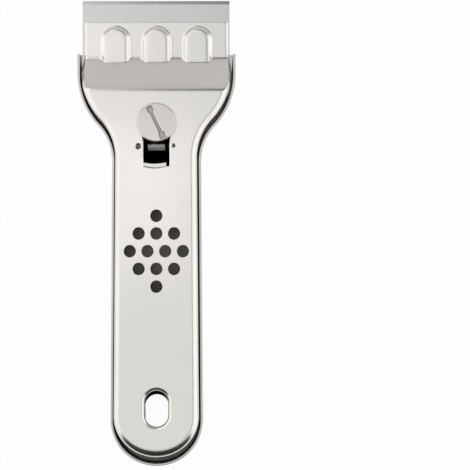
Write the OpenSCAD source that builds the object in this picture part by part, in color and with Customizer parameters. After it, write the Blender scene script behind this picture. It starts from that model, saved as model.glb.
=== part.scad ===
// Ceramic hob scraper: two nested pressed-steel shells, a blade between them and one clamp screw.
// It lies on its tray with the blade along +Y, and the origin is under the middle of its outline.
// All sizes are in millimetres.

/* [Overall] */
// Length from the tail to the blade's edge
overall_len = 136.4; // [114:0.1:170]
// Width across the sides of the handle, where it leaves the neck
handle_w = 26; // [23:0.1:32]
// Angle by which each side of the handle widens toward the tail
handle_taper = 0.4; // [0:0.1:1]
// Height of the cover's face above the tray's underside
cover_h = 10; // [8.6:0.1:12.4]

/* [Outline] */
// Radius of the hollow curve between the handle and the head
neck_r = 15.5; // [12:0.5:19]
// Radius of the round shoulder of the head
shoulder_r = 22.6; // [18:0.1:27]
// Length of the straight rim on each side of the head
head_side = 5.6; // [4.5:0.1:7]
// How far the rim runs ahead of the foot of the slope
rim_ahead = 1.2; // [1:0.1:2.4]

/* [Sheet] */
// Thickness of both pressed shells
sheet = 0.7; // [0.55:0.05:0.85]
// Height of the tray's rim
rim_h = 7; // [5.5:0.1:8.4]
// Outer radius of the bend between the tray's floor and its rim
rim_bend = 1.2; // [1:0.1:1.6]
// Outer radius of the bend round the cover's face
cover_bend = 1.9; // [1.5:0.1:2.3]
// Gap between the cover and the rim on each side
side_gap = 0.5; // [0.4:0.05:0.8]
// How far the cover sits ahead of the middle of the tray
cover_ahead = 1; // [0.5:0.05:1.2]
// How far the blade and the cover's sides and ribs sit to the left, as the photo's uneven gaps show
sits_left = 0.25; // [0:0.05:0.3]

/* [Blade] */
// Width of the blade
blade_w = 43.2; // [36:0.1:52]
// Depth of the blade, from its edge to its back
blade_d = 21; // [17.4:0.1:22.4]
// Size of the clipped corners at the blade's back
blade_clip = 0.6; // [0.2:0.1:1.5]
// Thickness of the blade
blade_t = 0.3; // [0.2:0.05:0.4]
// Length of the ground bevel at the edge
blade_bevel = 1; // [0.6:0.1:1.6]
// How far the edge stands out ahead of the clamp plate
blade_out = 6.3; // [5.3:0.1:7.5]
// Gap between each end of the blade and the rim
blade_side = 0.85; // [0.7:0.05:1.2]
// How far each end of the blade shows beside the clamp plate
blade_shows = 0.6; // [0.4:0.1:1]

/* [Clamp plate] */
// Length of the clamp plate, from the foot of the slope to its front edge
plate_len = 10.8; // [10.6:0.1:13]
// Length of the slope between the face and the plate, seen from above
slope_len = 9.2; // [8:0.1:10]
// Inner radius of the bends above and below the slope
slope_bend = 2.6; // [1.8:0.1:3]
// Distance between neighbouring ribs
rib_pitch = 12; // [10:0.1:13]
// Width of each rib
rib_w = 9.2; // [8.2:0.1:10]
// Height of each rib above the plate
rib_h = 1.3; // [1.2:0.05:1.6]
// Distance from the plate's front edge back to the ribs' round ends
rib_inset = 0.95; // [0.5:0.05:1.6]
// Diameter of the buttons that hold the blade from below
button_d = 5; // [4:0.1:5.2]
// Height of the buttons above the tray's tongue
button_h = 0.95; // [0.7:0.05:1]
// How much narrower the tray's tongue is than the clamp plate, on each side
tongue_in = 1; // [0.5:0.1:2]

/* [Clamp screw] */
// Distance from the foot of the slope back to the screw
screw_back = 19; // [18:0.1:20]
// Distance from the screw back to the rear edge of the cover's slot
slot_reach = 11.5; // [11:0.1:14]
// Diameter of the shoulder that the slot slides along
shoulder_d = 7; // [6:0.1:7.4]
// Diameter of the thread
thread_d = 5; // [4:0.1:5.4]
// Rise of the thread in one turn
thread_pitch = 0.8; // [0.7:0.1:1]
// Diameter of the head
screw_head_d = 11.4; // [11:0.1:13]
// Height of the head
screw_head_h = 2.2; // [1.8:0.1:3]
// Height of the dome on the head
dome_h = 0.3; // [0.2:0.1:0.8]
// Outer diameter of the washer under the head
washer_d = 10.4; // [9.4:0.1:10.8]
// Thickness of the washer
washer_t = 0.8; // [0.5:0.1:1.2]
// Length of the driver slot across the head
driver_len = 10.6; // [8:0.1:10.6]
// Width of the driver slot
driver_w = 1.1; // [0.8:0.1:1.5]
// Width of the slot's wider ends
driver_end_w = 1.9; // [1.6:0.1:2.4]
// Depth of the driver slot
driver_depth = 1.2; // [0.8:0.1:1.5]
// Angle of the driver slot while the screw is tight
driver_angle = 24; // [0:1:90]

/* [Nut bridge] */
// Width of the bridge's top, which carries the cover beside its slot
bridge_w = 8; // [7.8:0.1:9]
// Length of the bridge's top
bridge_len = 13.2; // [12:0.1:14]
// Width of the bridge's legs and feet
leg_w = 5; // [4:0.1:7]
// How far the front leg leans out, from the top to the foot
front_run = 2.6; // [1.8:0.1:3]
// How far the back leg leans out, so that it shows through the slot and its foot does not
back_run = 5; // [4.4:0.1:5.6]
// Length of each foot, welded to the tray
foot_len = 3.4; // [2.8:0.1:3.6]
// Thickness of the bridge
bridge_t = 1; // [0.8:0.1:1.2]
// Width of the square nut across its flats
nut_w = 8; // [7.4:0.1:8.4]
// Height of the square nut
nut_t = 4; // [3:0.1:4.4]

/* [Holes] */
// Diameter of the small holes in the face
dot_d = 3.5; // [3:0.1:3.9]
// Flat sheet left between the outermost small holes and the bend of the face
dot_margin = 0.4; // [0.3:0.05:1]
// Distance from the screw back to the middle row of small holes
dot_back = 37.5; // [32:0.1:44]
// Width of the hang hole
hang_w = 6.8; // [5.8:0.1:8]
// Length of the hang hole
hang_len = 10.5; // [9:0.1:13]
// Distance from the tail of the cover to the middle of its hang hole
hang_in = 14.4; // [12:0.1:17]
// How far the tray's hang hole sits behind the cover's
hang_behind = 1.3; // [0.6:0.1:2]
// Depth of the hang hole's lip, from the top of the face
lip_h = 2; // [1.5:0.1:2.6]
// Length of the ledge pressed into the face behind the slot
ledge_len = 1.45; // [1.2:0.05:2]
// Depth of the ledge below the face
ledge_drop = 0.25; // [0.15:0.05:0.35]
// Width of the notch beside the ledge
ledge_notch = 0.9; // [0.6:0.1:1.4]
// Length of the notch
ledge_notch_len = 1.1; // [0.7:0.1:1.4]
// Distance from the screw back to the two guide dimples
dimple_back = 6.9; // [6.7:0.1:9]
// Radius of the punch that made the dimples
dimple_r = 1.15; // [0.9:0.05:1.4]
// How far the dimples stand out below the face's sheet
dimple_h = 0.6; // [0.4:0.05:0.7]

/* [Hidden] */
$fn = 96;

// Clearances
slide_gap = 0.1;      // between faces that slide on each other
slot_gap = 0.25;      // beside the shoulder, in the cover's slot
turn_gap = 0.05;      // round the thread and under the screw's head
washer_gap = 0.1;     // round the shoulder, inside the washer
button_gap = 0.35;    // round the buttons, in the blade's holes, so that the blade can sit to the left
flange_gap = 0.3;     // under the cover's flange, above the blade
flange_end = 0.03;    // what is left of the flange beside the clamp plate
past = 1;             // how far a cut runs past what it opens
lap = 2;              // how far pieces of one sheet run into each other

// Steps round each curve
tail_steps = 16;
neck_steps = 8;
shoulder_steps = 5;
bend_steps = 6;
slope_steps = 8;
corner_steps = 8;
rib_steps = 24;

// Edges
edge_share = 0.7;            // part of a low edge's height that its rounding takes
least_in = 1.5 * sheet;      // least width of the bend round the cover, seen from above
floor_bend = min(rim_bend, sheet + blade_side - sits_left - slide_gap);    // keeps clear of the blade
fade_h = 2 * cover_bend;     // height over which the slope narrows to the clamp plate

// Places along the object, from the blade's edge back to the tail
edge_y = overall_len / 2;
tail_y = -overall_len / 2;
plate_y = edge_y - blade_out;
foot_y = plate_y - plate_len;
slope_y = foot_y - slope_len;
rim_y = foot_y + rim_ahead;
shoulder_y = rim_y - head_side;
screw_y = foot_y - screw_back;
dimple_y = screw_y - dimple_back;
slot_y = screw_y - slot_reach;

// Heights
blade_z = sheet;
plate_z = blade_z + blade_t + slide_gap + sheet;
flange_z = blade_z + blade_t + flange_gap;
face_z = cover_h - sheet;
bridge_z = face_z - slide_gap;
washer_z = cover_h + turn_gap;
head_z = washer_z + washer_t + turn_gap;

// Outline of the tray: a straight side, a neck arc and a shoulder arc that run into each other
head_w = blade_w + 2 * (blade_side + sheet);
plate_w = blade_w - 2 * blade_shows;
cover_in = sheet + side_gap;
side_x = handle_w / 2;
neck_turn = acos((side_x + neck_r * cos(handle_taper) + shoulder_r - head_w / 2) / (neck_r + shoulder_r));
neck_y = shoulder_y - (neck_r + shoulder_r) * sin(neck_turn) - neck_r * sin(handle_taper);
tail_r = (side_x * cos(handle_taper) + (neck_y - tail_y) * sin(handle_taper)) / (1 + sin(handle_taper));
tail_c = [0, tail_y + tail_r];
neck_c = [side_x + neck_r * cos(handle_taper), neck_y + neck_r * sin(handle_taper)];
shoulder_c = [head_w / 2 - shoulder_r, shoulder_y];

// Holes
slot_w = shoulder_d + 2 * slot_gap;
hang_y = tail_y + cover_in + cover_ahead + hang_in;
dot_y = screw_y - dot_back;
dot_rows = [1, 3, 4, 3, 1];
dot_pitch = (2 * (side_x - cover_in - cover_bend - dot_margin) - dot_d) / (max(dot_rows) - 1);

// Ribs: each is the top of a round bar that lies along the plate
rib_r = (rib_w * rib_w / 4 + rib_h * rib_h) / (2 * rib_h);
rib_axis_z = plate_z + rib_h - rib_r;
rib_end_y = plate_y - rib_inset - rib_w / 2;
rib_back_y = foot_y - (rib_h + sheet / 2) * slope_len / (cover_h - plate_z);

// Side views of the bent sheets, as lines along their upper faces
cover_line = [
    [slope_y - slope_bend - sheet, cover_h],
    [slope_y, cover_h],
    [foot_y, plate_z],
    [plate_y, plate_z]
];
upper_line = sheet_face(cover_line, slope_bend, sheet, 0);
lower_line = sheet_face(cover_line, slope_bend, sheet, sheet);

// Places along the head, in the outline's own position, where the cover's rings have points
slope_bend_y = [for (p = bend(cover_line[0], cover_line[1], cover_line[2], slope_bend, sheet, 0)) p.x];
foot_bend_y = [for (p = bend(cover_line[1], cover_line[2], cover_line[3], slope_bend, sheet, 0)) p.x];
cover_head = [
    for (y = concat(
        slope_bend_y,
        [for (i = [1:slope_steps - 1])
            slope_bend_y[bend_steps] + (foot_bend_y[0] - slope_bend_y[bend_steps]) * i / slope_steps],
        foot_bend_y,
        [plate_y]
    ))
        y - cover_ahead
];

leg_top = bridge_len / 2;
front_foot_y = screw_y + leg_top + front_run;
back_foot_y = screw_y - leg_top - back_run;
foot_z = sheet + bridge_t;
bridge_line = [
    [back_foot_y - foot_len, foot_z],
    [back_foot_y, foot_z],
    [screw_y - leg_top, bridge_z],
    [screw_y + leg_top, bridge_z],
    [front_foot_y, foot_z],
    [front_foot_y + foot_len, foot_z]
];

// Points on an arc
function arc(centre, r, from, to, steps) =
    [for (i = [0:steps]) let (a = from + (to - from) * i / steps) centre + r * [cos(a), sin(a)]];

// A list of points from its last to its first
function backward(points) = [for (i = [len(points) - 1:-1:0]) points[i]];

// Right half of the outline from the tail's tip, moved inward by inset, with the head at the given places
function half_outline(inset, head) =
    let (
        d = inset(tail_y),
        head_turn = asin((head[0] - lap - shoulder_y) / shoulder_r)
    )
    concat(
        arc(tail_c, tail_r - d, -90, handle_taper, tail_steps),
        arc(neck_c, neck_r + d, 180 + handle_taper, 180 - neck_turn, neck_steps),
        arc(shoulder_c, shoulder_r - d, -neck_turn, head_turn, shoulder_steps),
        [for (y = head) [head_side_x(y, inset(y)), y]]
    );

// Half width of the head, moved inward by inset
function head_side_x(y, inset) =
    y < shoulder_y
        ? shoulder_c.x + sqrt(pow(shoulder_r - inset, 2) - pow(y - shoulder_y, 2))
        : head_w / 2 - inset;

// Direction of a line from a to b
function heading(a, b) = atan2(b.y - a.y, b.x - a.x);

// Points round one bend of a sheet, on its upper face or at a depth below it
function bend(before, corner, after, inner_r, t, depth) =
    let (
        from = heading(before, corner),
        turn = heading(corner, after) - from,
        side = sign(turn),
        r = side > 0 ? inner_r : inner_r + t,
        reach = r * tan(abs(turn) / 2),
        centre = corner - reach * [cos(from), sin(from)] + side * r * [-sin(from), cos(from)],
        start = side > 0 ? -90 : 90
    )
    arc(centre, r + side * depth, from + start, from + start + turn, bend_steps);

// One face of a bent sheet, at a depth below the line that it follows
function sheet_face(line, inner_r, t, depth) =
    let (
        last = len(line) - 1,
        first_a = heading(line[0], line[1]),
        last_a = heading(line[last - 1], line[last])
    )
    concat(
        [line[0] + depth * [sin(first_a), -cos(first_a)]],
        [for (i = [1:last - 1], p = bend(line[i - 1], line[i], line[i + 1], inner_r, t, depth)) p],
        [line[last] + depth * [sin(last_a), -cos(last_a)]]
    );

// Side view of a bent sheet
function bent_sheet(line, inner_r, t) =
    concat(sheet_face(line, inner_r, t, 0), backward(sheet_face(line, inner_r, t, t)));

// Extrudes a side view, drawn in Y and Z, across the object
module across(width) {
    rotate([90, 0, 90]) linear_extrude(width, center = true) children();
}

// A square with a half circle at both ends
module long_hole(w, l) {
    square([w, l - w], center = true);
    for (end = [-1, 1]) translate([0, end * (l - w) / 2]) circle(d = w);
}

// Sheet pan made of rings of points, from its lower face round the edge to its upper face.
// Each ring is given as its right half, from the tail's tip to the front.
module pan(rings) {
    half_n = len(rings[0]);
    ring_n = 2 * half_n - 1;
    last = len(rings) - 1;
    points = [
        for (ring = rings) each concat(
            [for (i = [half_n - 1:-1:1]) [-ring[i].x, ring[i].y, ring[i].z]],
            ring
        )
    ];
    edge = [
        for (k = [0:last - 1], i = [0:ring_n - 2])
            let (a = k * ring_n + i, b = a + ring_n)
            [a, b, b + 1, a + 1]
    ];
    lower = [for (i = [0:half_n - 2]) strip(half_n - 1, i)];
    upper = [for (i = [0:half_n - 2]) backward(strip(last * ring_n + half_n - 1, i))];
    mouth = [
        for (k = [0:(last - 3) / 2], end = [0, ring_n - 1])
            let (a = k * ring_n + end, b = (last - k) * ring_n + end)
            end == 0 ? [a, b, b - ring_n, a + ring_n] : [a, a + ring_n, b - ring_n, b]
    ];
    sill = [ring_n - 1, last * ring_n + ring_n - 1, last * ring_n, 0];
    polyhedron(points, concat(edge, lower, upper, mouth, [sill]));
}

// Strip across a pan between two neighbouring places, counted from the ring's tip
function strip(tip, i) =
    i == 0 ? [tip, tip + 1, tip - 1] : [tip + i, tip + i + 1, tip - i - 1, tip - i];

// Places something at each of the three ribs
module at_ribs() {
    for (i = [-1:1]) translate([i * rib_pitch, 0, 0]) children();
}

// Tongue that carries the blade, ahead of the tray's rim
module tongue() {
    front = plate_y - tongue_in;
    half = plate_w / 2 - tongue_in;
    corner = 2 * tongue_in;
    right = arc([half - corner, front - corner], corner, 0, 90, corner_steps);
    linear_extrude(sheet) polygon(concat(
        [[half, rim_y - lap]],
        right,
        backward([for (p = right) [-p.x, p.y]]),
        [[-half, rim_y - lap]]
    ));
}

// Rings of the tray: floor, bend and rim outside, then rim, bend and floor inside
function tray_rings() =
    let (
        head = [for (i = [0:bend_steps]) cover_head[0] + (shoulder_y - cover_head[0]) * i / bend_steps],
        places = concat(head, [rim_y]),
        section = concat(
            arc([floor_bend, floor_bend], floor_bend, 270, 180, bend_steps),
            [[0, rim_h], [sheet, rim_h]],
            arc([floor_bend, floor_bend], floor_bend - sheet, 180, 270, bend_steps)
        )
    )
    [for (s = section) [for (p = half_outline(function (y) s.x, places)) [p.x, p.y, s.y]]];

// Tray with its turned-up rim, the tongue and the three drawn buttons
module lower_shell() {
    color("silver") difference() {
        union() {
            pan(tray_rings());
            tongue();
            at_ribs() translate([0, rib_end_y, 0]) cylinder(d = button_d, h = sheet + button_h);
        }
        at_ribs() translate([0, rib_end_y, -past])
            cylinder(d = button_d - 2 * sheet, h = past + button_h);
        translate([0, hang_y - hang_behind, -past])
            linear_extrude(sheet + 2 * past) long_hole(hang_w, hang_len);
    }
}

// Heights of the cover along the object: upper face, lower face and the bottom of its flange
function top_z(y) = lookup(y, upper_line);
function under_z(y) = lookup(y, lower_line);
function flange_end_z(y) = min(flange_z, under_z(y) - flange_end);

// Bend between face and flange, which shrinks to a rounded edge along the clamp plate
function bend_drop(y) = min(cover_bend, edge_share * (top_z(y) - flange_end_z(y)));
function bend_in(y) = max(bend_drop(y), least_in);
function inner_drop(y) = min(cover_bend - sheet, (under_z(y) - flange_end_z(y)) / 2);

// How far each side of the cover steps in where the slope ends and the plate begins
function step_in(y) =
    let (wide = head_w / 2 - cover_in - plate_w / 2, share = (top_z(y) - plate_z) / fade_h)
    wide * max(0, 1 - share);

// One ring of the cover: its inset from the cover's edge and its height, both along the object
function cover_ring(inset, height) = [
    for (p = half_outline(function (y) cover_in + inset(y + cover_ahead), cover_head))
        let (y = p.y + cover_ahead)
        [p.x - step_in(y), y, height(y)]
];

// Rings of the cover: lower face, bend and flange inside, then flange, bend and face outside
function cover_rings() = concat(
    [for (a = [90:-15:0]) cover_ring(
        function (y) bend_in(y) - (bend_in(y) - sheet) * cos(a),
        function (y) under_z(y) - inner_drop(y) * (1 - sin(a))
    )],
    [
        cover_ring(function (y) sheet, function (y) flange_end_z(y)),
        cover_ring(function (y) 0, function (y) flange_end_z(y))
    ],
    [for (a = [0:15:90]) cover_ring(
        function (y) bend_in(y) * (1 - cos(a)),
        function (y) top_z(y) - bend_drop(y) * (1 - sin(a))
    )]
);

// Places a round bar with a ball at its front end along each rib, so that its top is the rib
module rib_bars(r, back_y) {
    at_ribs() translate([0, rib_end_y, rib_axis_z]) rotate([-90, 0, 0])
        rotate_extrude() polygon(concat(
            [[0, back_y - rib_end_y], [r, back_y - rib_end_y]],
            arc([0, 0], r, 0, 90, rib_steps)
        ));
}

// Outside of the ribs
module ribs() {
    intersection() {
        rib_bars(rib_r, rib_back_y);
        translate([-plate_w / 2, rib_back_y, plate_z - sheet / 2])
            cube([plate_w, plate_y - rib_back_y, rib_h + sheet]);
    }
}

// Channels under the ribs, open at the back, that pass over the buttons
module rib_channels() {
    intersection() {
        rib_bars(rib_r - sheet, rib_back_y - lap);
        at_ribs() translate([-rib_w / 2, rib_back_y - lap, 0])
            cube([rib_w, plate_y - rib_back_y + lap, cover_h]);
    }
}

// Slot that the clamp screw stands in, with a round front end and a notch at the back on its right
module slot() {
    translate([0, 0, face_z - past]) linear_extrude(sheet + 2 * past) {
        translate([-slot_w / 2, slot_y]) square([slot_w, screw_y - slot_y]);
        translate([0, screw_y]) circle(d = slot_w);
        translate([slot_w / 2 - ledge_notch, slot_y - ledge_notch_len])
            square([ledge_notch, ledge_notch_len + past]);
    }
}

// Shallow ledge pressed into the face behind the slot
module slot_ledge() {
    translate([-slot_w / 2, slot_y - ledge_len, cover_h - ledge_drop])
        cube([slot_w - ledge_notch, ledge_len + past, ledge_drop + past]);
}

// Turned-down lip round the hang hole
module hang_lip() {
    translate([0, hang_y, cover_h - lip_h]) linear_extrude(lip_h - sheet / 2)
        long_hole(hang_w + 2 * sheet, hang_len + 2 * sheet);
}

// Balls of the punch that made the guide dimples, at a height above where it stopped below the face
module dimple_balls(above) {
    x = bridge_w / 2 + slide_gap + dimple_r;
    for (side = [-1, 1])
        translate([side * x, dimple_y, face_z - dimple_h + dimple_r + above]) sphere(dimple_r);
}

// Underside of the two dimples, which run along the sides of the nut bridge
module dimples() {
    intersection() {
        dimple_balls(0);
        translate([-side_x, dimple_y - lap, face_z - lap]) cube([handle_w, 2 * lap, lap + sheet / 2]);
    }
}

// Small holes in five rows, each row centred
module dots() {
    for (row = [0:len(dot_rows) - 1], i = [1:dot_rows[row]])
        translate([
            (i - (dot_rows[row] + 1) / 2) * dot_pitch,
            dot_y + ((len(dot_rows) - 1) / 2 - row) * dot_pitch,
            face_z - past
        ])
            cylinder(d = dot_d, h = sheet + 2 * past);
}

// Cover that slides over the blade: face, flange, slope, clamp plate and all that is pressed into them
module upper_shell() {
    color("gainsboro") difference() {
        union() {
            translate([-sits_left, 0, 0]) pan(cover_rings());
            hang_lip();
            translate([-sits_left, 0, 0]) ribs();
            dimples();
        }
        translate([-sits_left, 0, 0]) rib_channels();
        slot();
        slot_ledge();
        translate([0, hang_y, cover_h - lip_h - past]) linear_extrude(lip_h + 2 * past)
            long_hole(hang_w, hang_len);
        dimple_balls(sheet);
        dots();
    }
}

// Blade with a ground edge, clipped back corners and a hole for each button
module blade() {
    back = edge_y - blade_d;
    color("lightsteelblue") translate([-sits_left, 0, 0]) difference() {
        intersection() {
            across(blade_w) polygon([
                [back, blade_z],
                [edge_y, blade_z],
                [edge_y - blade_bevel, blade_z + blade_t],
                [back, blade_z + blade_t]
            ]);
            linear_extrude(cover_h) polygon([
                [-blade_w / 2, edge_y],
                [-blade_w / 2, back + blade_clip],
                [-blade_w / 2 + blade_clip, back],
                [blade_w / 2 - blade_clip, back],
                [blade_w / 2, back + blade_clip],
                [blade_w / 2, edge_y]
            ]);
        }
        at_ribs() translate([sits_left, rib_end_y, 0])
            cylinder(d = button_d + 2 * button_gap, h = cover_h);
    }
}

// Bridge with welded feet: the cover rests on its top, and the nut hangs under it
module nut_bridge() {
    color("darkgray") difference() {
        union() {
            across(leg_w) polygon(bent_sheet(bridge_line, bridge_t, bridge_t));
            translate([-bridge_w / 2, screw_y - leg_top + bridge_t, bridge_z - bridge_t])
                cube([bridge_w, 2 * (leg_top - bridge_t), bridge_t]);
        }
        translate([0, screw_y, bridge_z - bridge_t - past])
            cylinder(d = thread_d + 2 * slot_gap, h = bridge_t + 2 * past);
    }
}

// Square nut, welded under the bridge
module square_nut() {
    color("dimgray") translate([0, screw_y, bridge_z - bridge_t - nut_t]) difference() {
        translate([-nut_w / 2, -nut_w / 2, 0]) cube([nut_w, nut_w, nut_t]);
        translate([0, 0, -past]) cylinder(d = thread_d, h = nut_t + 2 * past);
    }
}

// Washer that lies on the cover and lifts with the screw
module washer() {
    color("lightgray") translate([0, screw_y, washer_z]) difference() {
        cylinder(d = washer_d, h = washer_t);
        translate([0, 0, -past]) cylinder(d = shoulder_d + 2 * washer_gap, h = washer_t + 2 * past);
    }
}

// Clamp screw: domed head with a driver slot, a shoulder for the cover's slot and a thread
module clamp_screw() {
    dome_r = (screw_head_d * screw_head_d / 4 + dome_h * dome_h) / (2 * dome_h);
    shoulder_z = bridge_z + slot_gap;
    tip_z = bridge_z - bridge_t - nut_t - 2 * turn_gap - thread_pitch;
    color("lightgray") translate([0, screw_y, 0]) difference() {
        union() {
            intersection() {
                translate([0, 0, head_z]) cylinder(d = screw_head_d, h = screw_head_h);
                translate([0, 0, head_z + screw_head_h - dome_r]) sphere(dome_r);
            }
            translate([0, 0, shoulder_z]) cylinder(d = shoulder_d, h = head_z - shoulder_z + turn_gap);
            translate([0, 0, tip_z]) cylinder(d = thread_d - 2 * turn_gap, h = head_z - tip_z);
        }
        translate([0, 0, head_z + screw_head_h - driver_depth]) rotate(driver_angle)
            linear_extrude(driver_depth + past) {
                square([driver_w, driver_len], center = true);
                for (side = [-1, 1]) translate([0, side * (driver_len - driver_end_w) / 2])
                    square(driver_end_w, center = true);
            }
    }
}

lower_shell();
upper_shell();
blade();
nut_bridge();
square_nut();
washer();
clamp_screw();
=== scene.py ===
import math

import bmesh
import bpy
import numpy as np
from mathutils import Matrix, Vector
from mathutils.geometry import delaunay_2d_cdt


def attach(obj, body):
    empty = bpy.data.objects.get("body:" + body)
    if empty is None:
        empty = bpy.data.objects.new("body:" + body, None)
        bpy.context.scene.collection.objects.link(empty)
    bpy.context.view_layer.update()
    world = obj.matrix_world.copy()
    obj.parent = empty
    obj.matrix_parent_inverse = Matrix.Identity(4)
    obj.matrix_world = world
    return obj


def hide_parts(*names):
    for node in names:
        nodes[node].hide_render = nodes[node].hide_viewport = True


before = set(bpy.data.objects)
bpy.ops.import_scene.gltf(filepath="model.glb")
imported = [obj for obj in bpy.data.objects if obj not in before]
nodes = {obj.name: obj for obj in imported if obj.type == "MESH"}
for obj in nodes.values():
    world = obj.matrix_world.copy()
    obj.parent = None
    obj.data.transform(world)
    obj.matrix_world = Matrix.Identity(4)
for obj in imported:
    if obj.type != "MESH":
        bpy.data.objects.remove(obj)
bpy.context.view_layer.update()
print("frame loaded:", len(nodes), "nodes")

# The sizes that several pieces share
scraper = {
    "length": 136.4,
    "handleWidth": 26,
    "handleTaper": 0.4,     # degrees
    "coverHeight": 10,
    "neckRadius": 15.5,
    "shoulderRadius": 22.6,
    "headWidth": 46.3,
    "headSide": 5.6,
    "rimAhead": 1.2,
    "sheet": 0.7,
    "bladeThickness": 0.3,
    "bladeOut": 6.3,
    "plateWidth": 42,
    "plateLength": 10.8,
    "slopeLength": 9.2,
    "screwBack": 19,
    "ribPitch": 12,
    "ribEnd": 56.35,
}
sheet = scraper["sheet"]
edgeY = scraper["length"] / 2
tailY = -edgeY
plateY = edgeY - scraper["bladeOut"]
footY = plateY - scraper["plateLength"]
slopeY = footY - scraper["slopeLength"]
rimY = footY + scraper["rimAhead"]
shoulderY = rimY - scraper["headSide"]
screwY = footY - scraper["screwBack"]
faceTop = scraper["coverHeight"]
faceUnder = faceTop - sheet
support = 0.04              # width of the flat strip that keeps a flat face's shading flat
headGap = 1.8               # between the shoulder arc and the head's first row of points
outlineSteps = {"tail": 56, "side": 12, "neck": 28, "shoulder": 22}
mergeReach = 0.002
sliverSize = 0.0005
creaseAngle = 34            # degrees

# Outline of the tray: straight side, neck arc and shoulder arc
taper = math.radians(scraper["handleTaper"])
sideX = scraper["handleWidth"] / 2
neckR = scraper["neckRadius"]
shoulderR = scraper["shoulderRadius"]
neckTurn = math.acos(
    (sideX + neckR * math.cos(taper) + shoulderR - scraper["headWidth"] / 2) / (neckR + shoulderR)
)
neckY = shoulderY - (neckR + shoulderR) * math.sin(neckTurn) - neckR * math.sin(taper)
tailR = (sideX * math.cos(taper) + (neckY - tailY) * math.sin(taper)) / (1 + math.sin(taper))


def arcPoints(centre, radius, start, end, steps):
    angles = [start + (end - start) * i / steps for i in range(steps + 1)]
    return [(centre[0] + radius * math.cos(a), centre[1] + radius * math.sin(a)) for a in angles]


def quarterTurns(steps):
    return [i / steps * math.pi / 2 for i in range(steps + 1)]


# From 0 to 1 with a soft start and a soft end
def eased(value):
    share = min(1, max(0, value))
    return share * share * (3 - 2 * share)


# Half width of the head's outline at y, moved inward by the inset
def headSideX(y, inset):
    if y < shoulderY:
        reach = math.sqrt((shoulderR - inset) ** 2 - (y - shoulderY) ** 2)
        return scraper["headWidth"] / 2 - shoulderR + reach
    return scraper["headWidth"] / 2 - inset


# Right half of the outline, from the tail's tip to the front, moved inward by inset(y),
# and by tipMore as well at the tip
def halfOutline(inset, head, tipMore=0):
    d = inset(tailY)
    headTurn = math.asin((head[0] - headGap - shoulderY) / shoulderR)
    tail = []
    last = outlineSteps["tail"]
    for i in range(last + 1):
        a = -math.pi / 2 + (taper + math.pi / 2) * i / last
        r = tailR - d - tipMore * math.sin(a) ** 2 * (i < last)
        tail.append((r * math.cos(a), tailY + tailR + r * math.sin(a)))
    neckC = (sideX + neckR * math.cos(taper), neckY + neckR * math.sin(taper))
    neck = arcPoints(neckC, neckR + d, math.pi + taper, math.pi - neckTurn, outlineSteps["neck"])
    count = outlineSteps["side"]
    side = [
        tuple(a + (b - a) * i / count for a, b in zip(tail[-1], neck[0])) for i in range(1, count)
    ]
    shoulderC = (scraper["headWidth"] / 2 - shoulderR, shoulderY)
    shoulder = arcPoints(shoulderC, shoulderR - d, -neckTurn, headTurn, outlineSteps["shoulder"])
    return tail + side + neck + shoulder + [(headSideX(y, inset(y)), y) for y in head]


def mirrored(half):
    return [(-p[0],) + tuple(p[1:]) for p in reversed(half[1:])] + list(half)


def stadium(centre, width, length, steps=24):
    r = width / 2
    d = (length - width) / 2
    front = arcPoints((centre[0], centre[1] + d), r, 0, math.pi, steps)
    back = arcPoints((centre[0], centre[1] - d), r, math.pi, 2 * math.pi, steps)
    return front + back


def circle(centre, radius, steps=48):
    return arcPoints(centre, radius, 0, 2 * math.pi, steps)[:-1]


def signedArea(loop):
    following = loop[1:] + loop[:1]
    return sum(a[0] * b[1] - b[0] * a[1] for a, b in zip(loop, following)) / 2


# Directions that point out of a closed loop, long enough to keep corners square
def loopNormals(loop):
    turn = 1 if signedArea(loop) > 0 else -1
    normals = []
    count = len(loop)
    for i in range(count):
        before = Vector(loop[i]) - Vector(loop[i - 1])
        after = Vector(loop[(i + 1) % count]) - Vector(loop[i])
        a = Vector((before.y, -before.x)).normalized()
        b = Vector((after.y, -after.x)).normalized()
        middle = (a + b).normalized()
        normals.append(turn * middle / max(0.5, middle.dot(a)))
    return normals


def movedOut(loop, distance):
    return [(p[0] + n.x * distance, p[1] + n.y * distance) for p, n in zip(loop, loopNormals(loop))]


def insideLoop(points, loop):
    inside = np.zeros(len(points), dtype=bool)
    x, y = points[:, 0], points[:, 1]
    for a, b in zip(loop, loop[1:] + loop[:1]):
        if a[1] != b[1]:
            crosses = (a[1] > y) != (b[1] > y)
            inside ^= crosses & (x < (b[0] - a[0]) * (y - a[1]) / (b[1] - a[1]) + a[0])
    return inside


# Flat face between an outer loop and its holes, once for each of the given heights
def fillFlat(bm, outer, holes, heights):
    coords = []
    edges = []
    for loop in [outer] + holes:
        start = len(coords)
        coords += [Vector(p[:2]) for p in loop]
        edges += [(start + i, start + (i + 1) % len(loop)) for i in range(len(loop))]
    verts, _, faces = delaunay_2d_cdt(coords, edges, [], 0, 1e-6)[:3]
    points = np.array([tuple(v) for v in verts])
    middles = np.array([points[list(f)].mean(axis=0) for f in faces])
    keep = insideLoop(middles, list(outer))
    for hole in holes:
        keep &= ~insideLoop(middles, list(hole))
    for z in heights:
        made = [bm.verts.new((p[0], p[1], z)) for p in points]
        for f, kept in zip(faces, keep):
            if kept:
                bm.faces.new([made[i] for i in f])


# Skin over rows of points, each row as long as the next
def loft(bm, rows, closedRows=False):
    made = [[bm.verts.new(p) for p in row] for row in rows]
    count = len(made[0])
    for a, b in zip(made, made[1:]):
        for i in range(count if closedRows else count - 1):
            j = (i + 1) % count
            bm.faces.new((a[i], a[j], b[j], b[i]))


def cap(bm, points):
    bm.faces.new([bm.verts.new(p) for p in points])


def atHeight(loop, z):
    return [(p[0], p[1], z) for p in loop]


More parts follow.
